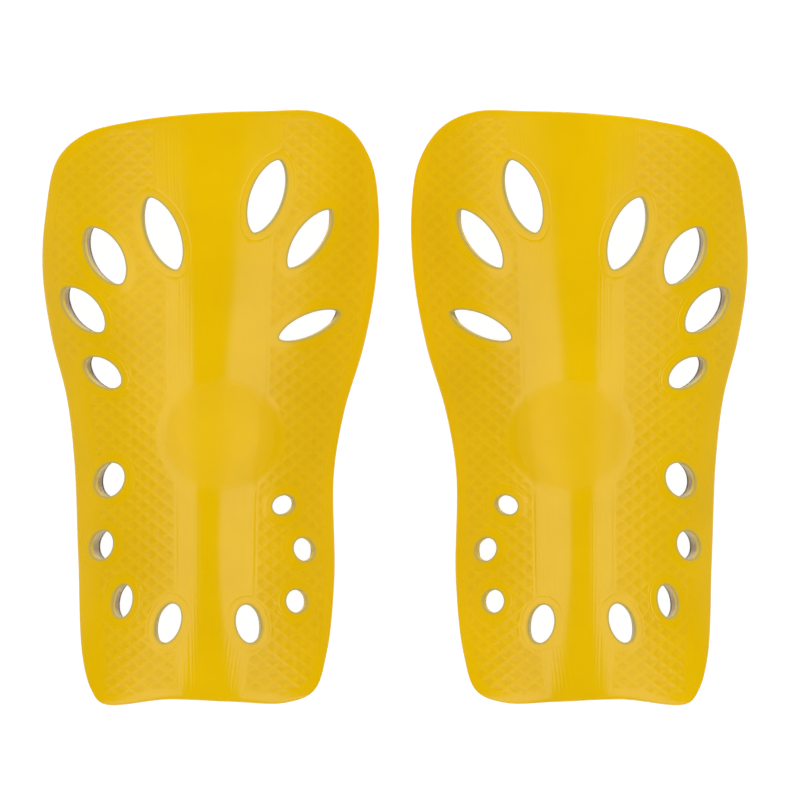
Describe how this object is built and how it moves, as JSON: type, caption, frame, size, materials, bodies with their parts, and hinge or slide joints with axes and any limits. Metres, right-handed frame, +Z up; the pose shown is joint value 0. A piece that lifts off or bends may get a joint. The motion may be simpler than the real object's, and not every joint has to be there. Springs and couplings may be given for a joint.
{
  "type": "shin guard pair",
  "caption": "Pair of mirrored slip-in shin guards: vented, ridged hard shells with foam liners, curved to the leg.",
  "frame": {"origin": "on the table, at the bottom centre of the box round both guards, midway between them", "axes": "+Z up, away from the leg, because the guards lie convex side up; +Y along the shin towards the knee; +X from the right leg's guard to the left leg's"},
  "size_m": [0.2154, 0.1809, 0.0251],
  "materials": {
    "shell": "glossy yellow moulded plastic with a fine raised diamond net on its flanks",
    "foam_liner": "matt pale warm grey closed-cell foam",
    "knit_facing": "warm grey brushed warp knit"
  },
  "bodies": {
    "right_guard": {"right_shell": "shell", "right_foam_liner": "foam_liner", "right_knit_facing": "knit_facing"},
    "left_guard": {"left_shell": "shell", "left_foam_liner": "foam_liner", "left_knit_facing": "knit_facing"}
  },
  "joints": [
    {"name": "move_apart", "type": "slide", "parent": "right_guard", "child": "left_guard", "axis": [1, 0, 0], "range_m": [0, 0.12]}
  ]
}
